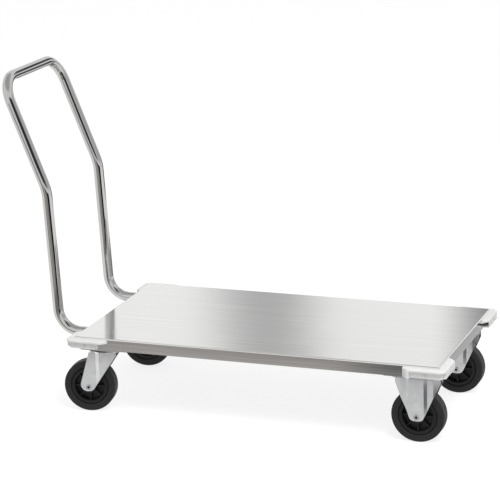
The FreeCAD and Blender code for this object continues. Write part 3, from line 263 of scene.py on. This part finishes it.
seal_finish, tree, shader, place = new_finish("nitrile_rubber", {"Roughness": 0.6})
dust = add(tree, "TexNoise", {"Vector": place, "Scale": 1 / seal_dust, "Detail": 3.0})
tint = add(tree, "MixRGB", {
    "Fac": dust.outputs["Fac"], "Color1": linear(seal_black), "Color2": linear(seal_dusty),
})
tree.links.new(tint.outputs[0], shader.inputs["Base Color"])
dress("seal_rubber", seal_finish)

# Tyres: solid black rubber, moulded on to the rims.
# The rubber is filled with carbon black, so it has a low sheen, and a trace of dust lies on it.
dust_patch = 14 * MM
tyre_black, tyre_dusty = "#1d1d1e", "#2c2c2c"
tyre_smooth, tyre_rough = 0.42, 0.6

tyre_finish, tree, shader, place = new_finish("solid_black_rubber", {"IOR": 1.5, "Specular IOR Level": 0.3})
dust = add(tree, "TexNoise", {"Vector": place, "Scale": 1 / dust_patch, "Detail": 5.0})
tint = add(tree, "MixRGB", {
    "Fac": dust.outputs["Fac"], "Color1": linear(tyre_black), "Color2": linear(tyre_dusty),
})
tree.links.new(tint.outputs[0], shader.inputs["Base Color"])
gloss = add(tree, "MapRange", {"Value": dust.outputs["Fac"], "To Min": tyre_smooth, "To Max": tyre_rough})
tree.links.new(gloss.outputs[0], shader.inputs["Roughness"])
dress("tyre_rubber", tyre_finish)

# Rims: black polypropylene, injection moulded with a web and eight ribs a side.
# The melt leaves faint flow marks in an even satin black.
rim_flow = 8 * MM
rim_black, rim_grey = "#131314", "#1e1e1f"

rim_finish, tree, shader, place = new_finish("moulded_black_rim", {
    "Roughness": 0.42, "Specular IOR Level": 0.3,
})
flow = add(tree, "TexNoise", {"Vector": place, "Scale": 1 / rim_flow, "Detail": 3.0})
tint = add(tree, "MixRGB", {
    "Fac": flow.outputs["Fac"], "Color1": linear(rim_black), "Color2": linear(rim_grey),
})
tree.links.new(tint.outputs[0], shader.inputs["Base Color"])
dress("rim_plastic", rim_finish)

# Bearing sleeves: natural nylon, turned from tube and pressed into the hubs.
# The bare nylon is a warm white, a little uneven.
nylon_patch = 5 * MM
nylon_pale, nylon_warm = "#e0ddd2", "#d2cec0"

sleeve_finish, tree, shader, place = new_finish("natural_nylon", {"Roughness": 0.45})
flow = add(tree, "TexNoise", {"Vector": place, "Scale": 1 / nylon_patch, "Detail": 2.0})
tint = add(tree, "MixRGB", {
    "Fac": flow.outputs["Fac"], "Color1": linear(nylon_warm), "Color2": linear(nylon_pale),
})
tree.links.new(tint.outputs[0], shader.inputs["Base Color"])
dress("sleeve_plastic", sleeve_finish)

# Floor: a wide sheet of pale paper, which lights the trolley as the paper it is.
# To the camera and in the metal it is plain white, with the trolley's faint shadow on it: out of the shadow,
# its glow and its lit grey come to white together.
floor_half = 16.0
sweep_pale, sweep_shade = "#d2d2d2", "#cacaca"
sweep_mottle = 400 * MM
sweep_glow, sweep_grey = 0.80, "#959595"
paper = {"Roughness": 0.9, "Specular IOR Level": 0.0}


def find_white_rays(tree):
    """One for a ray from the camera, a mirror or glass, which sees white, and zero for the light's own."""
    ray = add(tree, "LightPath").outputs
    seen = add(tree, "Math", {0: ray["Is Camera Ray"], 1: ray["Is Glossy Ray"]}, operation="ADD")
    seen = add(tree, "Math", {
        0: seen.outputs[0], 1: ray["Is Transmission Ray"],
    }, operation="ADD", use_clamp=True)
    return seen.outputs[0]


corners = [(x, y, 0) for x, y in ((-1, -1), (1, -1), (1, 1), (-1, 1))]
sweep = bpy.data.meshes.new("floor")
sweep.from_pydata([Vector(corner) * floor_half for corner in corners], [], [(0, 1, 2, 3)])
floor = bpy.data.objects.new("floor", sweep)
bpy.context.scene.collection.objects.link(floor)
floor_finish, tree, shader, place = new_finish("pale_sweep", paper)
mottle = add(tree, "TexNoise", {"Vector": place, "Scale": 1 / sweep_mottle, "Detail": 2.0})
tint = add(tree, "MixRGB", {
    "Fac": mottle.outputs["Fac"], "Color1": linear(sweep_shade), "Color2": linear(sweep_pale),
})
tree.links.new(tint.outputs[0], shader.inputs["Base Color"])
white = add(tree, "BsdfPrincipled", {
    **paper, "Base Color": linear(sweep_grey),
    "Emission Color": linear("#ffffff"), "Emission Strength": sweep_glow,
})
shown = add(tree, "MixShader", {0: find_white_rays(tree), 1: shader.outputs[0], 2: white.outputs[0]})
tree.links.new(shown.outputs[0], tree.nodes["Material Output"].inputs["Surface"])
sweep.materials.append(floor_finish)

# Studio: an even white room round the floor, without walls or corners.
# The camera and the metal see it as plain white, and it lights the trolley softly from every side.
room_light = 0.6

world = bpy.data.worlds.new("studio")
bpy.context.scene.world = world
world.use_nodes = True
tree = world.node_tree
light = (room_light, room_light, room_light, 1.0)
shown = add(tree, "MixRGB", {"Fac": find_white_rays(tree), "Color1": light, "Color2": linear("#ffffff")})
tree.links.new(shown.outputs[0], tree.nodes["Background"].inputs["Color"])

# Reflection sheets: soft-edged sheets, grey to black, laid, hung and stood round the trolley.
# Each glows with its own colour, which is painted reflection: together they draw the bands in its polished
# metal.
# Only a mirror shows them: the camera and the light pass them by.
dome_reach = 60.0
legs_place = (-0.47, -0.147)            # the near leg of the handle, halfway up its lean
sheet_turn, sheet_step = 15, 0.6          # the dark reflection sheet before the legs: its turn, and its distance from them
screen_back = 1.2                       # the reflection sheets behind the trolley
strip_turns = (-155, -110, -65, -20, 4, 28)
level_back = Vector((backward.x, backward.y, 0)).normalized()


def point(turn):
    """The level direction at a turn in degrees, from the camera's side to its right, as rows of x and y."""
    turn = np.radians(turn)
    back, right = (np.array(way.xy)[:, None, None] for way in (level_back, level_right))
    return np.cos(turn) * back + np.sin(turn) * right


def hang(turn, rise):
    """On the dome: as far from the middle at any turn and rise."""
    rise = np.radians(rise)
    return dome_reach * np.array([*np.cos(rise) * point(turn), np.sin(rise)])


def spread(turn, reach):
    """On the floor, as a sector: a turn, and a reach from the middle."""
    return np.array([*reach * point(turn), 0 * reach])


def lay(x, y):
    """On the floor, as a plain sheet along the trolley."""
    return np.array([x, y, 0 * x])


def stand(aside, height):
    """Upright, a step before the handle's legs on the camera's side: an offset aside, and a height."""
    foot = np.array(legs_place)[:, None, None] + sheet_step * point(sheet_turn)
    return np.array([*foot + aside * point(sheet_turn + 90), height])


def screen(x, height):
    """Upright behind the trolley, along it."""
    return np.array([x, screen_back + 0 * x, height])


# Each card's name, how it is placed, its middle, half width and soft edge across, the same along, its colour.
# On the floor, each lies on those before it.
reflection_sheets = (
    ("dark_reflection_sheet", spread, (14, 29, 4), (8.2, 7.9, 0.08), "#101010"),
    ("front_reflection_sheet", spread, (-32, 34, 5), (3.45, 2.15, 0.08), "#a19c98"),
    ("front_band", spread, (-41, 7, 4), (3.45, 2.15, 0.08), "#cac5c1"),
    ("near_reflection_sheet", spread, (-38, 31, 6), (0.8, 0.5, 0.08), "#8f8a86"),
    ("rear_reflection_sheet", spread, (150, 25, 5), (31.1, 29.0, 0.2), "#606060"),
    ("far_reflection_sheet", lay, (-0.05, 0.65, 0.08), (1.05, 0.43, 0.06), "#8f8c89"),
    # The pale aprons lie under and round the trolley, where the floor is in its shade, and paint a bright
    # reflection there.
    ("far_apron", lay, (0.07, 0.55, 0.04), (0.45, 0.17, 0.03), "#d8d8d8"),
    ("apron", lay, (0.07, 0.55, 0.04), (-0.18, 0.47, 0.03), "#d8d8d8"),
    ("wing", lay, (0.88, 0.26, 0.04), (-0.61, 0.14, 0.02), "#d8d8d8"),
    ("flank_card", lay, (0.78, 0.12, 0.03), (-0.2, 0.265, 0.02), "#3c3c3c"),
    ("end_card", lay, (0.8, 0.17, 0.04), (0.6, 0.3, 0.04), "#aeaeae"),
    ("back_strip", hang, (179.6, 1.36, 1.1), (15, 25, 2), "#b4b4b4"),
    *((f"strip_{turn}", hang, (turn, 1.6, 1.3), (17, 23, 2), "#b4b4b4") for turn in strip_turns),
    ("corner_reflection_sheet", screen, (0.37, 0.16, 0.10), (0.62, 0.33, 0.05), "#949494"),
    ("bar_reflection_sheet", screen, (-0.1, 0.25, 0.04), (1.24, 0.2, 0.04), "#595959"),
    ("side_reflection_sheet", hang, (80, 38, 8), (18, 13, 6), "#cfcfcf"),
    ("leg_reflection_sheet", stand, (0.112, 0.342, 0.025), (0.85, 0.25, 0.03), "#404040"),
    ("overhead", hang, (0, 200, 5), (90, 40, 10), "#c4c4c4"),
)
card_steps, card_lift = 48, 0.5 * MM

for layer, (name, placed, across, along, colour) in enumerate(reflection_sheets, 1):
    ends = [(middle - half - soft, middle + half + soft) for middle, half, soft in (across, along)]
    if placed is hang:     # not below the floor or past the top, and one wider than the dome closes on itself
        ends[0] = (-180, 180) if across[1] > 180 else ends[0]
        ends[1] = tuple(np.clip(ends[1], -2, 90))
    a, b = np.meshgrid(*(np.linspace(*pair, card_steps) for pair in ends), indexing="ij")
    places = placed(a, b)
    places[2] += card_lift * layer
    mesh = bpy.data.meshes.new(name)
    first = (np.arange(card_steps - 1)[:, None] * card_steps + np.arange(card_steps - 1)).ravel()
    faces = np.stack([first, first + card_steps, first + card_steps + 1, first + 1], 1)
    mesh.from_pydata(places.reshape(3, -1).T.tolist(), [], faces.tolist())
    offsets = np.stack([a - across[0], b - along[0]], -1).reshape(-1, 2)
    mesh.uv_layers.new(name="offsets").data.foreach_set("uv", offsets[faces.ravel()].ravel())
    card = bpy.data.objects.new(name, mesh)
    bpy.context.scene.collection.objects.link(card)
    card.visible_camera = card.visible_diffuse = card.visible_shadow = False
    # Each sheet glows with its colour and no light falls on it: the colour is a painted reflection in the
    # metal.
    card_finish, tree, shader, place = new_finish(name, {
        "Base Color": linear("#000000"), "Specular IOR Level": 0.0,
        "Emission Color": linear(colour), "Emission Strength": 1.0,
    })
    offset = add(tree, "SeparateXYZ", {"Vector": add(tree, "UVMap", uv_map="offsets").outputs[0]})
    share = 1.0
    for axis, (middle, half, soft) in zip("XY", (across, along)):
        away = add(tree, "Math", {0: offset.outputs[axis]}, operation="ABSOLUTE")
        inside = add(tree, "MapRange", {
            "Value": away.outputs[0], "From Min": half - soft, "From Max": half + soft,
            "To Min": 1.0, "To Max": 0.0,
        }, interpolation_type="SMOOTHSTEP")
        share = add(tree, "Math", {0: share, 1: inside.outputs[0]}, operation="MULTIPLY").outputs[0]
    clear = add(tree, "BsdfTransparent")
    shown = add(tree, "MixShader", {0: share, 1: clear.outputs[0], 2: shader.outputs[0]})
    tree.links.new(shown.outputs[0], tree.nodes["Material Output"].inputs["Surface"])
    mesh.materials.append(card_finish)

# Key lamp: one soft box, high on the right, that models the plastic, the zinc and the rubber.
# The metal doesn't mirror it, because its image would be a hard white spot on each bend.
key_place, key_aim = Vector((2.1, -2.4, 4.2)), Vector((0.0, 0.0, 0.2))
key_side, key_watts = 1.6, 140

lamp = bpy.data.lights.new("key_box", "AREA")
lamp.size = key_side
lamp.energy = key_watts
key = bpy.data.objects.new("key_box", lamp)
key.location = key_place
key.rotation_euler = (key_aim - key_place).to_track_quat("-Z", "Y").to_euler()
key.visible_glossy = False
bpy.context.scene.collection.objects.link(key)
